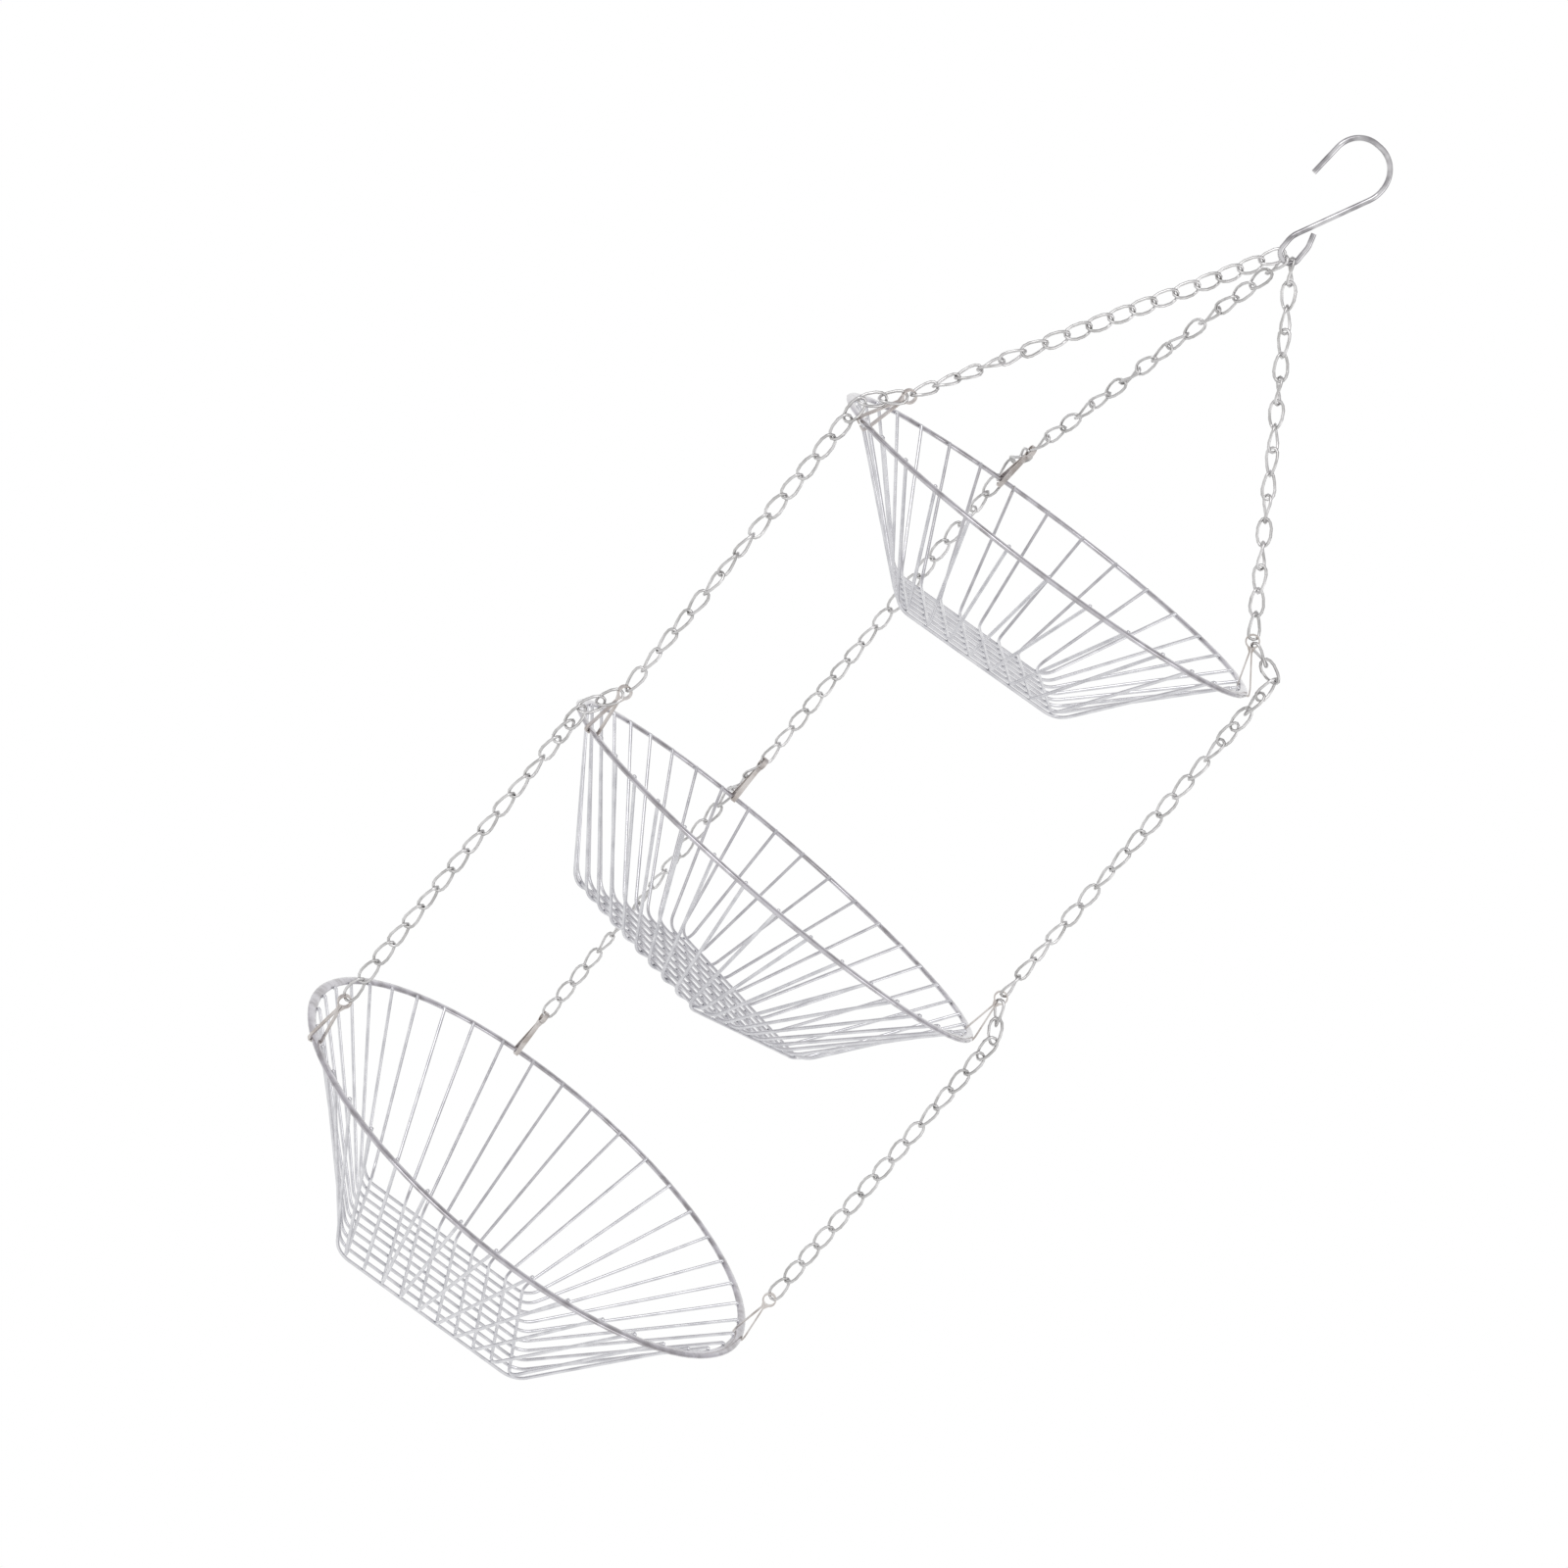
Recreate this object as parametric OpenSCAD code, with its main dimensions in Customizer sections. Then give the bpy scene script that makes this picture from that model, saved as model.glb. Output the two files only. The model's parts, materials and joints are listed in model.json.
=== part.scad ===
// Three-tier hanging fruit basket: an S-hook, three chains and three round wire baskets.
// Origin: where the hook's bend rests on what it hangs from. +Z up, -Y towards the viewer.

/* [Hook] */
// Wire of the hook
hook_wire = 3; // [2:0.5:5]
// Radius of the open bend, to the middle of the wire
hook_bend_r = 16; // [10:1:25]
// Height from the top of the bend down to the bottom of the eye
hook_len = 75.5; // [55:0.5:90]
// Radius of the eye, to the middle of the wire
eye_r = 5.3; // [4:0.1:8]

/* [Chain] */
// Wire of a link
link_wire = 1.7; // [1.2:0.1:2.5]
// Distance from one link to the next
link_pitch = 13.05; // [9:0.05:18]
// Half width of a link, to the middle of the wire
link_half_w = 3.4; // [2.5:0.1:5]
// Twist between the two ends of a link
link_twist = 64; // [0:2:90]
// Play between two links that touch
link_play = 0.2; // [0.1:0.05:0.5]
// Extra play where a chain bends over a rim
knee_play = 1.1; // [0:0.1:2]

/* [Clips] */
// Width of the strip round the eye
strip_w = 2.8; // [2:0.2:4.4]
// Width of the strip down the legs
leg_w = 2.8; // [2:0.2:4.4]
// Thickness of the strip
strip_t = 0.8; // [0.6:0.1:1.5]
// Clearance between the clip and the rim
clip_play = 0.3; // [0.1:0.05:0.6]
// Distance from the rim to the link that carries the clip
clip_len = 29; // [20:1:40]
// Inner radius of the clip's eye
clip_eye_r = 3.15; // [2:0.05:4]
// How far each basket's clips lean inwards, top to bottom
clip_lean = [27, 0, -1]; // [0:1:40]
// Where the chains hang round the rims: left, back, right
chain_az = [200, 99, 350]; // [0:1:360]

/* [Baskets] */
// Rim radius, top to bottom
rim_r = [131, 140, 152]; // [80:1:200]
// Rim height under the hook's bend
rim_z = [-266, -497.6, -716]; // [-900:0.1:0]
// Depth under the rim to the middle of the lower wires
bowl_depth = [68, 76.5, 88.5]; // [40:0.5:120]
// Half size of the flat square grid
grid_half = [47.2, 54.6, 56]; // [30:0.1:90]
// Wires in each of the two crossing layers
wires = [8, 10, 10]; // [4:1:14]
// How far the grid is turned round
grid_turn = [0, 45, 0]; // [0:1:90]
// Tilt of each basket as it hangs, to the front
tilt_front = [4, -3.5, 0]; // [-8:0.5:8]
// Tilt of each basket as it hangs, to the side
tilt_side = [-3.5, 1.5, 0]; // [-8:0.5:8]
// Width of the flat rim
rim_w = 5.6; // [3:0.1:10]
// Thickness of the flat rim
rim_t = 1.6; // [1:0.1:4]
// Wire of the bowls
bowl_wire = 1.9; // [1:0.1:3]
// Bend radius where a wire leaves the grid
bowl_bend_r = 14; // [6:1:25]

/* [Hidden] */
$fn = 64;

// eye of the hook
eye_x = 0;
eye_bottom = hook_wire / 2 - hook_len;
eye_z = eye_bottom + eye_r;
eye_spread = [-44, 0, 48];

// links
link_r = link_wire / 2;
link_reach = link_r + link_play / 2;
link_len = link_pitch + 2 * link_reach;
link_h = link_len / 2 - link_half_w;

// the edges of the strip meet the link's round end, so the wire stays this near the eye's middle
end_room = link_half_w - link_r - 0.5;
eye_hold = clip_eye_r - link_half_w + sqrt(end_room * end_room - strip_w * strip_w / 4);
eye_c = clip_len - link_reach - eye_hold;

// baskets
wire_gap = 0.06;
joint_swell = 1.03;
joint_half = 0.2;
tip_up = 0.4;

function unit(v) = v / norm(v);
function turn_x(p, a) = [p.x, p.y * cos(a) - p.z * sin(a), p.y * sin(a) + p.z * cos(a)];
function turn_y(p, a) = [p.x * cos(a) + p.z * sin(a), p.y, p.z * cos(a) - p.x * sin(a)];
function hung(b, p) = turn_y(turn_x(p, tilt_front[b]), tilt_side[b]) + [0, 0, rim_z[b]];
function tangent(s) = [-sin(chain_az[s]), cos(chain_az[s]), 0];
function outward(s) = [cos(chain_az[s]), sin(chain_az[s]), 0];

// where a clip holds its link, where the chain's pivots are and where the eye's middle is
function on_clip(b, s, h) = hung(b, outward(s) * (rim_r[b] - h * sin(clip_lean[b]))
  + [0, 0, h * cos(clip_lean[b])]);
function clip_top(b, s) = on_clip(b, s, clip_len);
function rim_at(b, s) = hung(b, outward(s) * rim_r[b]);
function eye_seat(s) = [eye_x + eye_r * sin(eye_spread[s]), 0, eye_z - eye_r * cos(eye_spread[s])];
function chain_start(s) = eye_seat(s)
  - unit(clip_top(0, s) - eye_seat(s)) * (hook_wire / 2 + link_r + link_play - link_reach);
function free_links(b) = floor(min([for (s = [0:2]) rim_at(b, s).z + 3 - clip_top(b + 1, s).z])
  / link_pitch);
function pivot(b, s) = clip_top(b + 1, s) + [0, 0, free_links(b) * link_pitch];

// The drop goes n1 links out over the rim to the knee, then n2 links straight down to the pivot
drop_hold = eye_hold - link_play + link_reach + link_pitch / 2;
function drop_pitch(v, n1, n2) = let (
    m = n1 - 0.5,
    a = m * m - n2 * n2,
    b = drop_hold * m + v.z * n2,
    q = b * b - a * (drop_hold * drop_hold - v * v)
  ) q < 0 ? 2 * link_pitch : (sqrt(q) - b) / a;
function drop_choices(b, s) = [
    for (n1 = [2:4])
      for (n2 = [0:6])
        let (p = drop_pitch(on_clip(b, s, eye_c) - pivot(b, s), n1, n2))
          if (p <= link_pitch - (n2 == 0 ? 0 : 0.8) && p > 0.7 * link_pitch
            && (n2 == 0 || pivot(b, s).z + n2 * p >= rim_at(b, s).z))
            [p, n1, n2]
  ];
function drop_fit(b, s) = let (
    choices = drop_choices(b, s),
    widest = max([for (c = choices) c[0]])
  ) [for (c = choices) if (c[0] == widest) c][0];
function knee(b, s) = pivot(b, s) + [0, 0, drop_fit(b, s)[2] * drop_fit(b, s)[0]];
function drop_start(b, s) = let (e = on_clip(b, s, eye_c))
  e + unit(knee(b, s) - e) * (drop_hold - drop_fit(b, s)[0] / 2);
function upper_links(s) = ceil(norm(chain_start(s) - clip_top(0, s)) / link_pitch);

// Rods, bends and wires

module rod(a, b, d) {
  v = b - a;
  translate(a)
    rotate([0, acos(v.z / norm(v)), atan2(v.y, v.x)])
      cylinder(d = d, h = norm(v));
}

module bend(p, u, v, r, d) {
  turn = acos(u * v);
  n = unit(v - (u * v) * u);
  c = p - u * r * tan(turn / 2) + n * r;
  w = cross(-n, u);
  multmatrix([[-n.x, u.x, w.x, c.x], [-n.y, u.y, w.y, c.y], [-n.z, u.z, w.z, c.z]])
    rotate_extrude(angle = turn)
      translate([r, 0])
        circle(d = d);
}

function corner_turn(p, i) = acos(unit(p[i] - p[i - 1]) * unit(p[i + 1] - p[i]));
function trim(p, r, i) = i == 0 || i == len(p) - 1 ? 0 : r[i] * tan(corner_turn(p, i) / 2);

module wire(p, r, d) {
  for (i = [0:len(p) - 2]) {
    u = unit(p[i + 1] - p[i]);
    a = p[i] + u * trim(p, r, i);
    b = p[i + 1] - u * trim(p, r, i + 1);
    rod(a, b, d);
    if (i > 0)
      rod(a - u * joint_half, a + u * joint_half, d * joint_swell);
    if (i < len(p) - 2)
      rod(b - u * joint_half, b + u * joint_half, d * joint_swell);
  }
  for (i = [1:len(p) - 2])
    bend(p[i], unit(p[i] - p[i - 1]), unit(p[i + 1] - p[i]), r[i], d);
}

// One twisted link, standing upright round the origin

module link_end() {
  translate([0, 0, link_h])
    rotate([0, 0, link_twist / 2])
      rotate([90, 0, 0])
        rotate_extrude(angle = 180)
          translate([link_half_w, 0])
            circle(d = link_wire);
}

module link_side() {
  c = link_half_w * cos(link_twist / 2);
  s = link_half_w * sin(link_twist / 2);
  rod([c, s, link_h], [c, -s, -link_h], link_wire);
  for (k = [-1, 1])
    translate([c, k * s, k * link_h])
      sphere(d = link_wire * joint_swell);
}

module chain_link() {
  union() {
    link_end();
    rotate([180, 0, 0])
      link_end();
    link_side();
    rotate([0, 0, 180])
      link_side();
  }
}

// Links from a down to b; first is the number of links above a, step turns each one a little more

module chain(a, b, count, ref, first = 0, step = 0) {
  z = unit(a - b);
  x = unit(ref - (ref * z) * z);
  y = cross(z, x);
  for (i = [0:count - 1]) {
    c = a + (b - a) * (i + 0.5) / count;
    multmatrix([[x.x, y.x, z.x, c.x], [x.y, y.y, z.y, c.y], [x.z, y.z, z.z, c.z]])
      rotate([0, 0, (first + i) * step - link_twist / 2])
        chain_link();
  }
}

// Turn from a chain's first link to its last, so that the last one sits square in the next eye

function turn_step(ends, count) = (ends + link_twist) / (count - 1);

// The drop: from a clip's eye out over the rim and down to the pivot of the free chain

module drop(b, s) {
  fit = drop_fit(b, s);
  step = turn_step(0, fit[1] + fit[2] + free_links(b));
  chain(drop_start(b, s), knee(b, s), fit[1], tangent(s), 0, step);
  if (fit[2] > 0)
    chain(knee(b, s) - [0, 0, knee_play], pivot(b, s), fit[2], tangent(s), fit[1], step);
}

module free_chain(b, s) {
  above = drop_fit(b, s)[1] + drop_fit(b, s)[2];
  step = turn_step(0, above + free_links(b));
  chain(pivot(b, s), clip_top(b + 1, s), free_links(b), tangent(s), above, step);
}

// Upper chain: from the eye of the hook to the clip's eye, then the drop

function upper_turn(s) = let (
    z = unit(chain_start(s) - clip_top(0, s)),
    x = unit([0, 1, 0] - z.y * z),
    a = atan2(tangent(s) * cross(z, x), tangent(s) * x)
  ) a > 90 ? a - 180 : a < -90 ? a + 180 : a;

module upper_chain(s) {
  n = upper_links(s);
  chain(chain_start(s), clip_top(0, s), n, [0, 1, 0], 0, turn_step(upper_turn(s), n));
  drop(0, s);
}

// Clip: an eye round the link, two legs and two feet that hook under the rim

module strip(points, w) {
  translate([0, 0, -w / 2])
    linear_extrude(w)
      polygon(points);
}

module clip_body(lean) {
  half = rim_w / 2 * cos(lean) + rim_t / 2 * abs(sin(lean)) + clip_play;
  neck = eye_c - clip_eye_r - 3;
  foot = -rim_w / 2 * abs(sin(lean)) - rim_t / 2 * cos(lean) - clip_play;
  union() {
    difference() {
      translate([0, eye_c, -strip_w / 2])
        cylinder(r = clip_eye_r + strip_t, h = strip_w);
      translate([0, eye_c, -strip_w])
        cylinder(r = clip_eye_r, h = strip_w * 2);
      translate([-0.15, neck, -strip_w])
        cube([0.3, eye_c - neck, strip_w * 2]);
    }
    for (k = [0, 1])
      mirror([k, 0, 0]) {
        strip([
          [0.15, neck], [0.15 + strip_t, neck],
          [1.6 + strip_t, eye_c - clip_eye_r + 0.2], [1.2, eye_c - clip_eye_r - 0.1],
          [0.15, eye_c - clip_eye_r - 0.9]
        ], strip_w);
        strip([
          [0.15, neck + 0.2], [0.15 + strip_t, neck + 0.2],
          [half + strip_t, 1.5], [half + strip_t, foot], [half + strip_t - 0.5, foot - strip_t],
          [1, foot - strip_t], [1, foot], [half, foot], [half, 1.4]
        ], leg_w);
      }
  }
}

module clip(b, s) {
  translate([0, 0, rim_z[b]])
    rotate([0, tilt_side[b], 0])
      rotate([tilt_front[b], 0, 0])
        rotate([0, 0, chain_az[s]])
          translate([rim_r[b], 0, 0])
            rotate([0, -clip_lean[b], 0])
              rotate([90, 0, 0])
                clip_body(clip_lean[b]);
}

// Basket: a flat rim and two layers of bent wires

module hang(b) {
  translate([0, 0, rim_z[b]])
    rotate([0, tilt_side[b], 0])
      rotate([tilt_front[b], 0, 0])
        rotate([0, 0, grid_turn[b]])
          children();
}

module rim(b) {
  hang(b)
    rotate_extrude()
      translate([rim_r[b], 0])
        polygon([
          [-rim_w / 2, -rim_t / 2 + 0.3], [-rim_w / 2 + 0.3, -rim_t / 2],
          [rim_w / 2 - 0.3, -rim_t / 2], [rim_w / 2, -rim_t / 2 + 0.3],
          [rim_w / 2, rim_t / 2 - 0.3], [rim_w / 2 - 0.3, rim_t / 2],
          [-rim_w / 2 + 0.3, rim_t / 2], [-rim_w / 2, rim_t / 2 - 0.3]
        ]);
}

// The wire's end leans on the rim's inner edge, so its slope sets how far in it stays
function wire_foot(b, y, lift) = [grid_half[b] + 5, y, lift - bowl_depth[b]];
function wire_top(b, i) = let (
    a = (i - (wires[b] - 1) / 2) * 90 / wires[b],
    run = rim_r[b] - norm([grid_half[b] + 5, (i / (wires[b] - 1) * 2 - 1) * grid_half[b]]),
    lean = atan(run / bowl_depth[b]),
    r = rim_r[b] - rim_w / 2 - (bowl_wire / 2 + wire_gap) / cos(lean) + 0.3 * tan(lean)
  ) [r * cos(a), r * sin(a), rim_t / 2];

module bowl_wire_at(b, i, lift) {
  y = (i / (wires[b] - 1) * 2 - 1) * grid_half[b];
  foot = wire_foot(b, y, lift);
  top = wire_top(b, i);
  tip = top + unit(top - foot) * tip_up;
  wire([[-tip.x, tip.y, tip.z], [-foot.x, y, foot.z], foot, tip],
    [0, bowl_bend_r, bowl_bend_r, 0], bowl_wire);
}

module bowl_layer(b, layer) {
  hang(b)
    rotate([0, 0, layer * 90])
      for (i = [0:wires[b] - 1])
        bowl_wire_at(b, i, layer * (bowl_wire + wire_gap));
}

// Hook: open bend, slanting shank and an eye that closes on the shank

module hook() {
  color("silver")
    wire([
      [-hook_bend_r - 2, 0, -30], [-hook_bend_r, 0, hook_wire / 2],
      [hook_bend_r, 0, hook_wire / 2], [hook_bend_r, 0, -hook_bend_r - 2.6],
      [-eye_r, 0, eye_z + 7], [-eye_r, 0, eye_bottom], [eye_r, 0, eye_bottom],
      [eye_r, 0, eye_z + 8], [3, 0, eye_z + 15.2]
    ], [0, hook_bend_r - 0.7, hook_bend_r - 0.7, 18, 12, eye_r - 0.3, eye_r - 0.3, 9, 0], hook_wire);
}

module upper_chain_left() { color("lightgray") upper_chain(0); }
module upper_chain_back() { color("lightgray") upper_chain(1); }
module upper_chain_right() { color("lightgray") upper_chain(2); }
module middle_chain_left() { color("lightgray") free_chain(0, 0); }
module middle_chain_back() { color("lightgray") free_chain(0, 1); }
module middle_chain_right() { color("lightgray") free_chain(0, 2); }
module drop_links_left() { color("lightgray") drop(1, 0); }
module drop_links_back() { color("lightgray") drop(1, 1); }
module drop_links_right() { color("lightgray") drop(1, 2); }
module lower_chain_left() { color("lightgray") free_chain(1, 0); }
module lower_chain_back() { color("lightgray") free_chain(1, 1); }
module lower_chain_right() { color("lightgray") free_chain(1, 2); }
module top_clip_left() { color("tan") clip(0, 0); }
module top_clip_back() { color("tan") clip(0, 1); }
module top_clip_right() { color("tan") clip(0, 2); }
module middle_clip_left() { color("tan") clip(1, 0); }
module middle_clip_back() { color("tan") clip(1, 1); }
module middle_clip_right() { color("tan") clip(1, 2); }
module bottom_clip_left() { color("tan") clip(2, 0); }
module bottom_clip_back() { color("tan") clip(2, 1); }
module bottom_clip_right() { color("tan") clip(2, 2); }
module top_rim() { color("lightsteelblue") rim(0); }
module top_wires_along() { color("gainsboro") bowl_layer(0, 0); }
module top_wires_across() { color("gainsboro") bowl_layer(0, 1); }
module middle_rim() { color("lightsteelblue") rim(1); }
module middle_wires_along() { color("gainsboro") bowl_layer(1, 0); }
module middle_wires_across() { color("gainsboro") bowl_layer(1, 1); }
module bottom_rim() { color("lightsteelblue") rim(2); }
module bottom_wires_along() { color("gainsboro") bowl_layer(2, 0); }
module bottom_wires_across() { color("gainsboro") bowl_layer(2, 1); }

hook();
upper_chain_left();
upper_chain_back();
upper_chain_right();
middle_chain_left();
middle_chain_back();
middle_chain_right();
drop_links_left();
drop_links_back();
drop_links_right();
lower_chain_left();
lower_chain_back();
lower_chain_right();
top_clip_left();
top_clip_back();
top_clip_right();
middle_clip_left();
middle_clip_back();
middle_clip_right();
bottom_clip_left();
bottom_clip_back();
bottom_clip_right();
top_rim();
top_wires_along();
top_wires_across();
middle_rim();
middle_wires_along();
middle_wires_across();
bottom_rim();
bottom_wires_along();
bottom_wires_across();
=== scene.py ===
import json
import math

import bpy
from mathutils import Matrix, Vector


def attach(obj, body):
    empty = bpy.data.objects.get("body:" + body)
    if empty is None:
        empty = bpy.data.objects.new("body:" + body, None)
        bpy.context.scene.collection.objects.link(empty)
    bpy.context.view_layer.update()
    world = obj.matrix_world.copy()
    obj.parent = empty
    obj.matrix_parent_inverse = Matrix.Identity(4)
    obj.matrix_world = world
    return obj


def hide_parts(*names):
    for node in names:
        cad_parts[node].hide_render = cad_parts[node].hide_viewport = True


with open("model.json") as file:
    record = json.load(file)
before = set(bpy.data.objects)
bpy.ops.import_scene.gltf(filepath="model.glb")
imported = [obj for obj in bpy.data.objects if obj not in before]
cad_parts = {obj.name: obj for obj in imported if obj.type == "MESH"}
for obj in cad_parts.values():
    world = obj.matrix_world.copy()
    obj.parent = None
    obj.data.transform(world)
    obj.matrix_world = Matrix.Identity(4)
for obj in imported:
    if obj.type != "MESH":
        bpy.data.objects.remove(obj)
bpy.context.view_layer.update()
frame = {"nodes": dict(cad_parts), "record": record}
nodes = frame["nodes"]
print("frame loaded:", len(nodes), "nodes")


def hexColor(text):
    # an sRGB hex colour as the linear one that the sockets take
    parts = [int(text[i:i + 2], 16) / 255 for i in (1, 3, 5)]
    linear = [c / 12.92 if c <= 0.04045 else ((c + 0.055) / 1.055) ** 2.4 for c in parts]
    return (*linear, 1.0)


def addNode(tree, kind, settings=None, links=None):
    # settings: attribute or input name to value; links: input to (node, output)
    node = tree.nodes.new(kind)
    for name, value in (settings or {}).items():
        if name in node.inputs:
            node.inputs[name].default_value = value
        else:
            setattr(node, name, value)
    for name, (other, output) in (links or {}).items():
        tree.links.new(other.outputs[output], node.inputs[name])
    return node


def paintRamp(ramp, stops):
    elements = ramp.color_ramp.elements
    elements[0].position, elements[0].color = stops[0][0], hexColor(stops[0][1])
    elements[1].position, elements[1].color = stops[-1][0], hexColor(stops[-1][1])
    for position, color in stops[1:-1]:
        elements.new(position).color = hexColor(color)


# Camera: the photograph's own view, rolled so that the chains run up to the right
camera = {
    "place": (-0.2664, -1.4373, -0.2253),
    "right": (0.7751, -0.0271, 0.6312),
    "up": (-0.6106, 0.2247, 0.7594),
    "lens": 61.93,
    "sensor": 36.0,
    "nearest": 0.05,
    "farthest": 50,
}


def makeCamera():
    data = bpy.data.cameras.new("photoCamera")
    data.lens = camera["lens"]
    data.sensor_width = camera["sensor"]
    data.clip_start = camera["nearest"]
    data.clip_end = camera["farthest"]
    eye = bpy.data.objects.new("photoCamera", data)
    bpy.context.scene.collection.objects.link(eye)
    right = Vector(camera["right"]).normalized()
    back = right.cross(Vector(camera["up"])).normalized()
    up = back.cross(right)
    turn = Matrix((right, up, back)).transposed().to_4x4()
    eye.matrix_world = Matrix.Translation(camera["place"]) @ turn
    bpy.context.scene.camera = eye


makeCamera()
print("camera ready")

# Stage: white paper below and behind the baskets, in a room of soft light; the room's tones run
# from behind the camera, 0, past the sides to behind the baskets, 1
stage = {
    "floorHeight": -1.25,
    "floorSize": 10.0,
    "wallLeft": -2.4,
    "wallRight": 4.4,
    "wallTop": 1.9,
    "wallDepth": 4.99,
    "paperColor": "#ffffff",
    "paperGlow": 1.0,
    "roomStrength": 1.0,
    "roomStops": [(0.0, "#ffffff"), (0.25, "#f8f7f8"), (0.42, "#d6d4d5"),
                  (0.6, "#cfcdcf"), (0.8, "#e2e1e4"), (1.0, "#f6f5f7")],
}
lamps = {
    "key": {"place": (-1.6, -1.9, 1.5), "aim": (0, 0, -0.4), "size": 1.6, "power": 14.0},
    "fill": {"place": (2.1, -1.2, 0.4), "aim": (0, 0, -0.4), "size": 1.4, "power": 6.0},
}


def makePaper():
    # white paper that the camera and the metal see as plain white
    paint = bpy.data.materials.new("whitePaper")
    paint.use_nodes = True
    tree = paint.node_tree
    tree.nodes.clear()
    path = addNode(tree, "ShaderNodeLightPath")
    clear = addNode(tree, "ShaderNodeMath", {"operation": "MAXIMUM"}, {
        0: (path, "Is Glossy Ray"), 1: (path, "Is Transmission Ray")})
    seen = addNode(tree, "ShaderNodeMath", {"operation": "MAXIMUM"}, {
        0: (path, "Is Camera Ray"), 1: (clear, 0)})
    white = hexColor(stage["paperColor"])
    paper = addNode(tree, "ShaderNodeBsdfDiffuse", {"Color": white})
    glow = addNode(tree, "ShaderNodeEmission", {"Color": white, "Strength": stage["paperGlow"]})
    mix = addNode(tree, "ShaderNodeMixShader", links={0: (seen, 0), 1: (paper, 0), 2: (glow, 0)})
    addNode(tree, "ShaderNodeOutputMaterial", links={"Surface": (mix, 0)})
    return paint


def makeSweep():
    low, size = stage["floorHeight"], stage["floorSize"]
    left, right = stage["wallLeft"], stage["wallRight"]
    wide = right - left
    high = stage["wallTop"] - low
    middle = ((right + left) / 2, stage["wallDepth"], low + high / 2)
    bpy.ops.object.select_all(action="DESELECT")
    bpy.ops.mesh.primitive_plane_add(size=size, location=(0, 0, low))
    floor = bpy.context.object
    floor.name = "studioFloor"
    bpy.ops.mesh.primitive_plane_add(size=1, location=middle, rotation=(math.pi / 2, 0, 0))
    wall = bpy.context.object
    wall.name = "studioWall"
    wall.scale = (wide, high, 1)
    paint = makePaper()
    for sheet in (floor, wall):
        sheet.data.materials.append(paint)


def makeRoom():
    # white behind the camera and greyer at the sides, for the grey edges of round bright wire
    world = bpy.data.worlds.new("studioRoom")
    bpy.context.scene.world = world
    world.use_nodes = True
    tree = world.node_tree
    tree.nodes.clear()
    place = addNode(tree, "ShaderNodeTexCoord")
    split = addNode(tree, "ShaderNodeSeparateXYZ", links={"Vector": (place, "Generated")})
    depth = addNode(tree, "ShaderNodeMapRange", {"From Min": -1.0, "From Max": 1.0}, {
        "Value": (split, "Y")})
    ramp = addNode(tree, "ShaderNodeValToRGB", links={"Fac": (depth, "Result")})
    paintRamp(ramp, stage["roomStops"])
    room = addNode(tree, "ShaderNodeBackground", {"Strength": stage["roomStrength"]}, {
        "Color": (ramp, 0)})
    addNode(tree, "ShaderNodeOutputWorld", links={"Surface": (room, 0)})


def makeLamps():
    for name, lamp in lamps.items():
        data = bpy.data.lights.new(name + "Lamp", "AREA")
        data.energy = lamp["power"]
        data.size = lamp["size"]
        item = bpy.data.objects.new(name + "Lamp", data)
        bpy.context.scene.collection.objects.link(item)
        item.location = lamp["place"]
        item.rotation_mode = "QUATERNION"
        aim = Vector(lamp["aim"]) - Vector(lamp["place"])
        item.rotation_quaternion = aim.to_track_quat("-Z", "Y")


makeSweep()
makeRoom()
makeLamps()
bpy.context.scene.view_settings.view_transform = "Standard"
print("stage ready")

# Metals: color where the plating is clean, dark where it is cloudy
metals = {
    # chromium on rolled strip: cool, nearly a mirror, light and dark streaks that follow the hoop
    "rims": {"name": "chromePlatedRim", "color": "#c8c6cb", "dark": "#a6a3a6", "rough": 0.12},
    # chromium on drawn wire: pale, one soft bright line along each wire
    "bowl_wires": {
        "name": "chromePlatedWire", "color": "#dcdcdf", "dark": "#cacace", "rough": 0.16},
    # bright zinc on drawn wire: light grey without a tint, small glints on each bend
    "chain": {"name": "zincPlatedChain", "color": "#d4d3d3", "dark": "#bab9b8", "rough": 0.16},
    # rolled steel strip: warmer and duller, reflections spread wide
    "clips": {"name": "rolledSteelStrip", "color": "#d0cbc8", "dark": "#b3aba6", "rough": 0.24},
    # chromium on thick wire: the sharpest reflections, dark against light
    "hook": {"name": "chromePlatedHook", "color": "#cbcacc", "dark": "#959396", "rough": 0.1},
}
metalDetail = {
    "cloudSize": 0.009, "cloudDetail": 2.0, "darkUntil": 0.35, "cleanFrom": 0.6,
    "grainSize": 0.0011, "grainDetail": 1.0, "grainDepth": 0.00001, "grainStrength": 0.1,
    "smoothest": 0.85, "roughest": 1.2,
}


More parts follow.
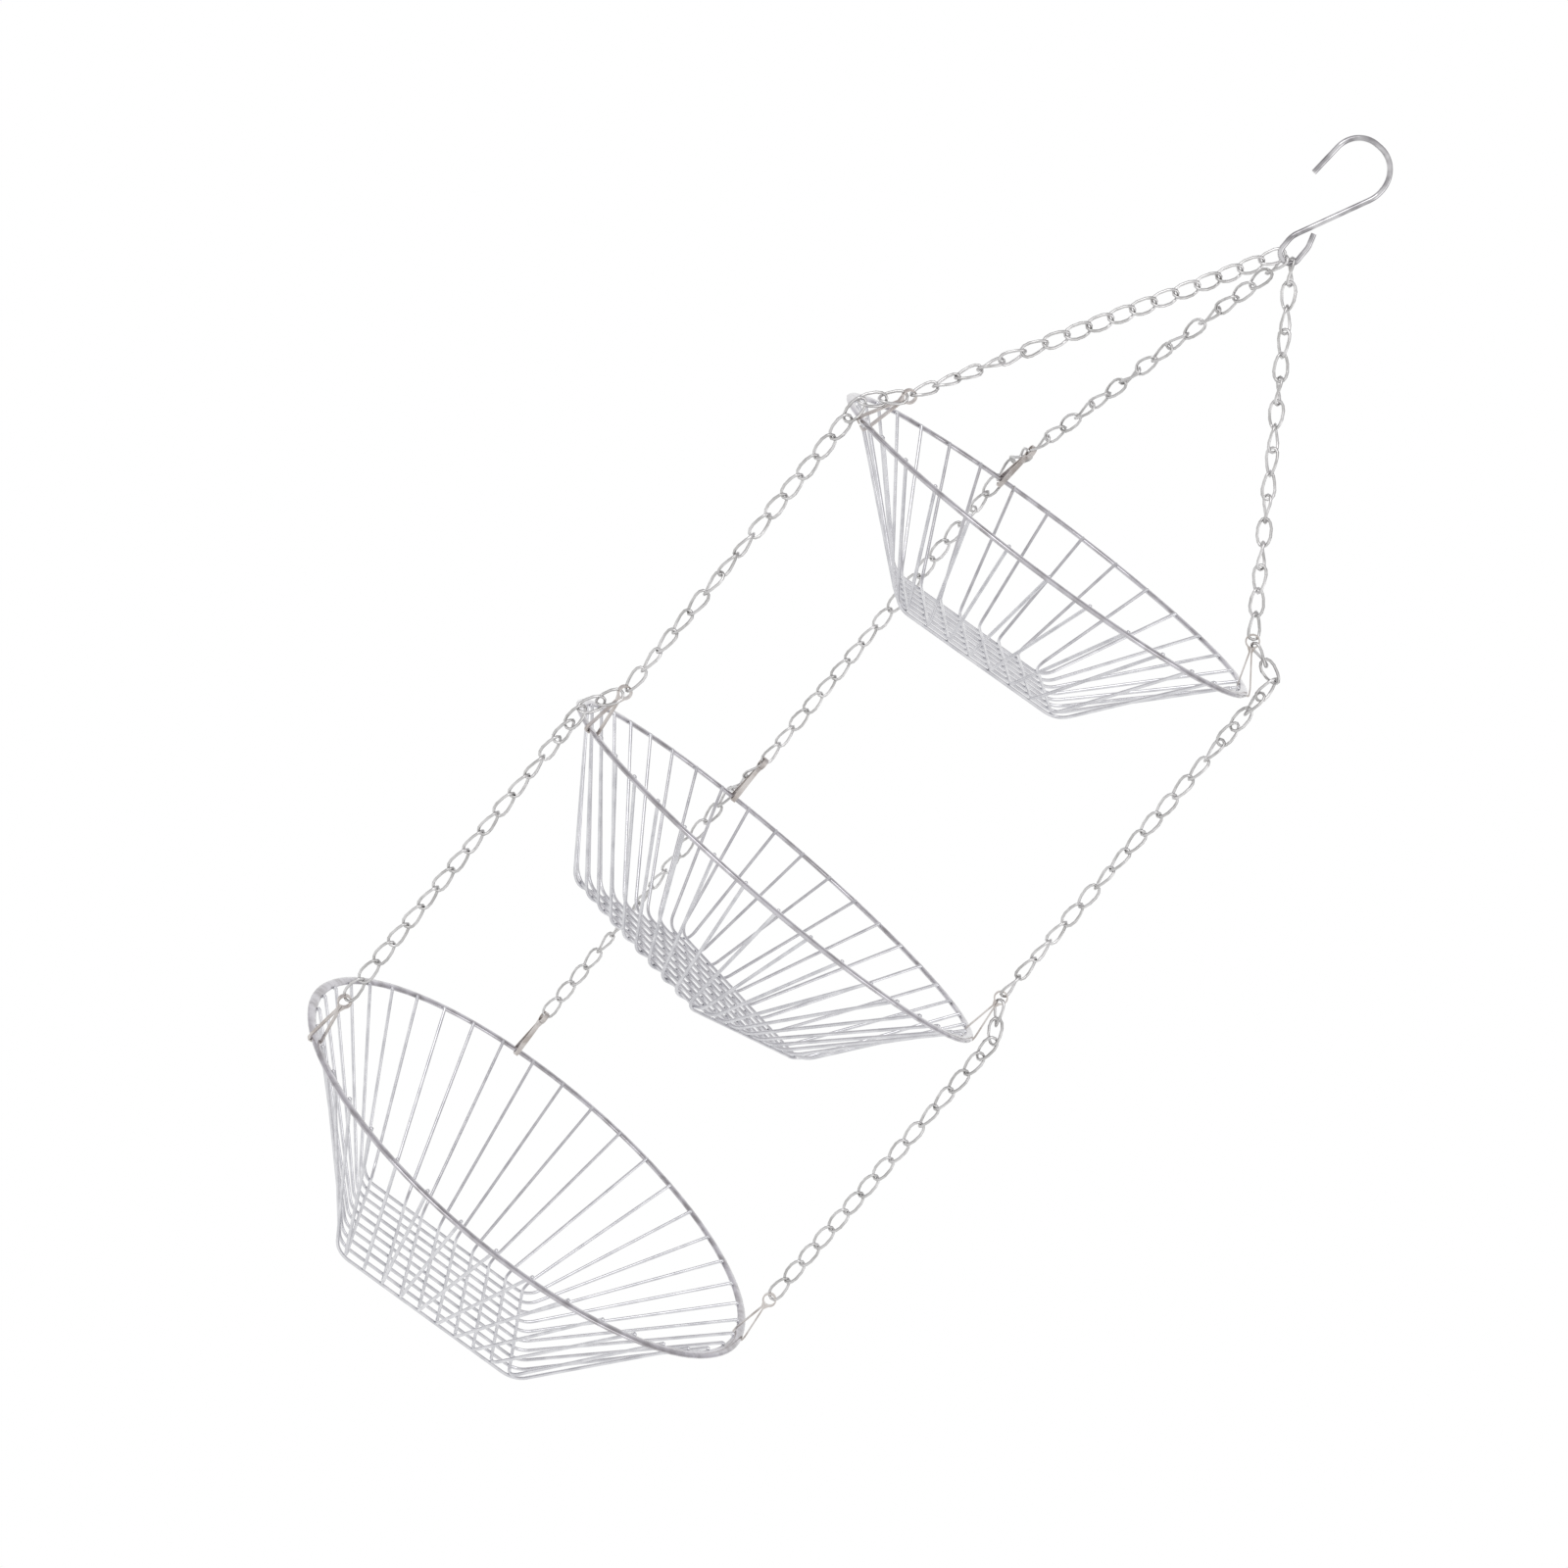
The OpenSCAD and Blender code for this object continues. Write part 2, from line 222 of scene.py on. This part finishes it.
def makeMetal(kind):
    # a soft cloudy tone over 9 mm, and drawing marks in the gloss and the bump; the real marks
    # of 0.1 mm are too fine to show, so they are drawn at 1.1 mm
    detail = metalDetail
    paint = bpy.data.materials.new(kind["name"])
    paint.use_nodes = True
    tree = paint.node_tree
    tree.nodes.clear()
    place = addNode(tree, "ShaderNodeTexCoord")
    cloud = addNode(tree, "ShaderNodeTexNoise", {
        "Scale": 1 / detail["cloudSize"], "Detail": detail["cloudDetail"]}, {
        "Vector": (place, "Object")})
    tone = addNode(tree, "ShaderNodeValToRGB", links={"Fac": (cloud, "Fac")})
    paintRamp(tone, [(detail["darkUntil"], kind["dark"]), (detail["cleanFrom"], kind["color"])])
    grain = addNode(tree, "ShaderNodeTexNoise", {
        "Scale": 1 / detail["grainSize"], "Detail": detail["grainDetail"]}, {
        "Vector": (place, "Object")})
    gloss = addNode(tree, "ShaderNodeMapRange", {
        "To Min": kind["rough"] * detail["smoothest"],
        "To Max": kind["rough"] * detail["roughest"]}, {
        "Value": (grain, "Fac")})
    bump = addNode(tree, "ShaderNodeBump", {
        "Strength": detail["grainStrength"], "Distance": detail["grainDepth"]}, {
        "Height": (grain, "Fac")})
    steel = addNode(tree, "ShaderNodeBsdfPrincipled", {"Metallic": 1.0}, {
        "Base Color": (tone, "Color"), "Roughness": (gloss, "Result"), "Normal": (bump, "Normal")})
    addNode(tree, "ShaderNodeOutputMaterial", links={"Surface": (steel, 0)})
    return paint


paints = {slot: makeMetal(kind) for slot, kind in metals.items()}


def dressNodes():
    for part in frame["record"]["subparts"]:
        node = nodes[part["node"]]
        node.data.materials.clear()
        node.data.materials.append(paints[part["material_slot"]])


dressNodes()
print("metals ready")


def finishPiece(piece, name, slot, body, replaced=()):
    # a finished piece: named, smooth, in its metal and on its body
    piece.name = name
    piece.data.name = name
    piece.data.materials.clear()
    piece.data.materials.append(paints[slot])
    bpy.ops.object.select_all(action="DESELECT")
    piece.select_set(True)
    bpy.context.view_layer.objects.active = piece
    bpy.ops.object.shade_smooth()
    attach(piece, body)
    if replaced:
        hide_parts(*replaced)


def joinPieces(parts):
    bpy.ops.object.select_all(action="DESELECT")
    for part in parts:
        part.select_set(True)
    bpy.context.view_layer.objects.active = parts[0]
    bpy.ops.object.join()
    return parts[0]


def copyTo(model, place):
    # a copy with its own mesh, its place put into the mesh
    twin = model.copy()
    twin.data = model.data.copy()
    bpy.context.scene.collection.objects.link(twin)
    twin.data.transform(place)
    return twin


def scaleHeight(factor):
    # the primitive just added, made flatter or taller in edit mode
    bpy.ops.object.mode_set(mode="EDIT")
    bpy.ops.mesh.select_all(action="SELECT")
    bpy.ops.transform.resize(value=(1, 1, factor))
    bpy.ops.object.mode_set(mode="OBJECT")


# Rims: strip rolled into a hoop with rounded edges, and a bead of weld at each wire's end;
# a basket's tilts and turn are in degrees, and wires counts one layer of its bowl
baskets = {
    "top": {"body": "top_tier", "radius": 0.131, "height": -0.266,
            "tiltFront": 4.0, "tiltSide": -3.5, "turn": 0.0, "wires": 8},
    "middle": {"body": "middle_tier", "radius": 0.14, "height": -0.4976,
               "tiltFront": -3.5, "tiltSide": 1.5, "turn": 45.0, "wires": 10},
    "bottom": {"body": "lower_tier", "radius": 0.152, "height": -0.716,
               "tiltFront": 0.0, "tiltSide": 0.0, "turn": 0.0, "wires": 10},
}
rimShape = {"width": 0.0056, "thickness": 0.0028, "around": 120, "section": 10}
weldShape = {"size": 0.0011, "length": 0.0014, "inset": 0.0004, "height": 0.0006,
             "around": 8, "rings": 6}


def hangMatrix(basket):
    turns = Matrix.Rotation(math.radians(basket["tiltSide"]), 4, "Y")
    turns = turns @ Matrix.Rotation(math.radians(basket["tiltFront"]), 4, "X")
    turns = turns @ Matrix.Rotation(math.radians(basket["turn"]), 4, "Z")
    return Matrix.Translation((0, 0, basket["height"])) @ turns


def wireAngles(basket):
    # the wires of each layer fan out over 90 degrees at each end
    wires = basket["wires"]
    for quarter in range(4):
        for wire in range(wires):
            yield math.radians(90 * quarter + (wire - (wires - 1) / 2) * (90 / wires))


def makeHoop(tier, basket):
    bpy.ops.object.select_all(action="DESELECT")
    bpy.ops.mesh.primitive_torus_add(
        major_segments=rimShape["around"], minor_segments=rimShape["section"],
        major_radius=basket["radius"], minor_radius=rimShape["width"] / 2)
    scaleHeight(rimShape["thickness"] / rimShape["width"])
    hoop = bpy.context.object
    hoop.data.transform(hangMatrix(basket))
    finishPiece(hoop, tier + "RimHoop", "rims", basket["body"], [tier + "_rim"])


def makeWelds(tier, basket):
    bpy.ops.object.select_all(action="DESELECT")
    bpy.ops.mesh.primitive_uv_sphere_add(
        segments=weldShape["around"], ring_count=weldShape["rings"], radius=weldShape["size"])
    scaleHeight(weldShape["length"] / weldShape["size"])
    bead = bpy.context.object
    reach = basket["radius"] - rimShape["width"] / 2 - weldShape["inset"]
    outward = Matrix.Translation((reach, 0, weldShape["height"]))
    beads = []
    for angle in wireAngles(basket):
        place = hangMatrix(basket) @ Matrix.Rotation(angle, 4, "Z") @ outward
        beads.append(copyTo(bead, place))
    bpy.data.objects.remove(bead)
    finishPiece(joinPieces(beads), tier + "RimWelds", "bowl_wires", basket["body"])


for tierName, basketValues in baskets.items():
    makeHoop(tierName, basketValues)
    makeWelds(tierName, basketValues)
print("rims ready")

# Chains: one twisted link, copied down each run; a run is its top and bottom end in millimetres
# and its count of links. Each sign in turns is one link's turn about the chain, from the camera
# on in steps of 15 degrees, 0 to b: most follow the photograph, the rest are set one by one
linkShape = {
    "width": 0.0073, "wire": 0.0017, "reach": 0.00095, "pitch": 0.01305, "twist": 64.0,
    "around": 14, "section": 5, "fullness": 0.8, "turnStep": 15.0, "turnBase": 12,
}
chains = {
    "upper_chain_left": {"body": "top_tier", "turns": "b0000000001237989ab0", "runs": [
        ((-2.865, 0.317, -71.174), (-111.923, -42.006, -249.838), 17),
        ((-114.95, -42.68, -253.942), (-130.678, -46.023, -268.689), 2),
        ((-130.678, -46.023, -269.789), (-130.678, -46.023, -279.598), 1)]},
    "upper_chain_back": {"body": "top_tier", "turns": "7b027b4916b38027b38037", "runs": [
        ((0.166, -0.928, -72.707), (-20.468, 114.298, -233.294), 16),
        ((-20.589, 117.719, -236.179), (-21.357, 139.789, -245.718), 2),
        ((-21.357, 139.789, -246.818), (-21.357, 139.789, -293.829), 4)]},
    "upper_chain_right": {"body": "top_tier", "turns": "6b4916b492705a137b3801", "runs": [
        ((3.045, 0.18, -70.932), (114.341, -22.214, -234.612), 16),
        ((118.386, -22.282, -237.591), (138.622, -22.495, -244.993), 2),
        ((138.622, -22.495, -246.093), (138.622, -22.495, -288.089), 4)]},
    "middle_chain_left": {"body": "middle_chain_left", "turns": "001112448a998a", "runs": [
        ((-130.678, -46.023, -279.598), (-130.678, -46.023, -462.298), 14)]},
    "middle_chain_back": {"body": "middle_chain_back", "turns": "b0000132221133", "runs": [
        ((-21.357, 139.789, -293.829), (-21.357, 139.789, -476.529), 14)]},
    "middle_chain_right": {"body": "middle_chain_right", "turns": "89abba98b13435", "runs": [
        ((138.622, -22.495, -288.089), (138.622, -22.495, -470.789), 14)]},
    "drop_links_left": {"body": "middle_tier", "turns": "b012", "runs": [
        ((-132.533, -47.015, -467.259), (-143.309, -52.16, -483.857), 2),
        ((-143.309, -52.16, -484.957), (-143.309, -52.16, -504.304), 2)]},
    "drop_links_back": {"body": "middle_tier", "turns": "46", "runs": [
        ((-21.593, 140.459, -480.598), (-23.857, 150.629, -504.304), 2)]},
    "drop_links_right": {"body": "middle_tier", "turns": "8bb", "runs": [
        ((140.149, -23.154, -475.826), (150.189, -26.482, -493.854), 2),
        ((150.189, -26.482, -494.954), (150.189, -26.482, -504.304), 1)]},
    "lower_chain_left": {"body": "lower_chain_left", "turns": "24323322322111", "runs": [
        ((-143.309, -52.16, -504.304), (-143.309, -52.16, -687.004), 14)]},
    "lower_chain_back": {"body": "lower_chain_back", "turns": "8ab1345678ab01", "runs": [
        ((-23.857, 150.629, -504.304), (-23.857, 150.629, -687.004), 14)]},
    "lower_chain_right": {"body": "lower_chain_right", "turns": "bba9bb00000001", "runs": [
        ((150.189, -26.482, -504.304), (150.189, -26.482, -687.004), 14)]},
}
mmPerMetre = 1000


def signedPower(value, power):
    return math.copysign(abs(value) ** power, value)


def makeLink():
    # a ring drawn out to a full oval along x, then twisted about x, its wire kept round
    radius = linkShape["width"] / 2
    half = linkShape["pitch"] / 2 + linkShape["reach"]
    full = linkShape["fullness"]
    bpy.ops.object.select_all(action="DESELECT")
    bpy.ops.mesh.primitive_torus_add(
        major_segments=linkShape["around"], minor_segments=linkShape["section"],
        major_radius=radius, minor_radius=linkShape["wire"] / 2)
    link = bpy.context.object
    for point in link.data.vertices:
        angle = math.atan2(point.co.y, point.co.x)
        along, across = math.cos(angle), math.sin(angle)
        out = math.hypot(point.co.x, point.co.y) - radius
        centre = Vector((
            signedPower(along, full) * half, signedPower(across, full) * radius, 0))
        away = Vector((
            signedPower(along, 2 - full) / half, signedPower(across, 2 - full) / radius, 0))
        spot = centre + away.normalized() * out + Vector((0, 0, point.co.z))
        twist = math.radians(linkShape["twist"]) * centre.x / (2 * half)
        point.co = Matrix.Rotation(twist, 3, "X") @ spot
    return link


def linkPlace(top, bottom, share, turn):
    # the link's middle at that share of the run, its flat side turned from the camera
    centre = top.lerp(bottom, share)
    along = (top - bottom).normalized()
    across = along.cross(centre - Vector(camera["place"])).normalized()
    across.rotate(Matrix.Rotation(turn, 3, along))
    place = Matrix((along, across, along.cross(across))).transposed().to_4x4()
    place.translation = centre
    return place


def makeChain(node, chain, model):
    links = []
    for top, bottom, count in chain["runs"]:
        top, bottom = Vector(top) / mmPerMetre, Vector(bottom) / mmPerMetre
        for step in range(count):
            steps = int(chain["turns"][len(links)], linkShape["turnBase"])
            turn = math.radians(steps * linkShape["turnStep"])
            links.append(copyTo(model, linkPlace(top, bottom, (step + 0.5) / count, turn)))
    words = node.split("_")
    name = words[0] + "Links" + words[-1].capitalize()
    finishPiece(joinPieces(links), name, "chain", chain["body"], [node])


linkModel = makeLink()
for nodeName, chainValues in chains.items():
    makeChain(nodeName, chainValues, linkModel)
bpy.data.objects.remove(linkModel)
print("chains ready")
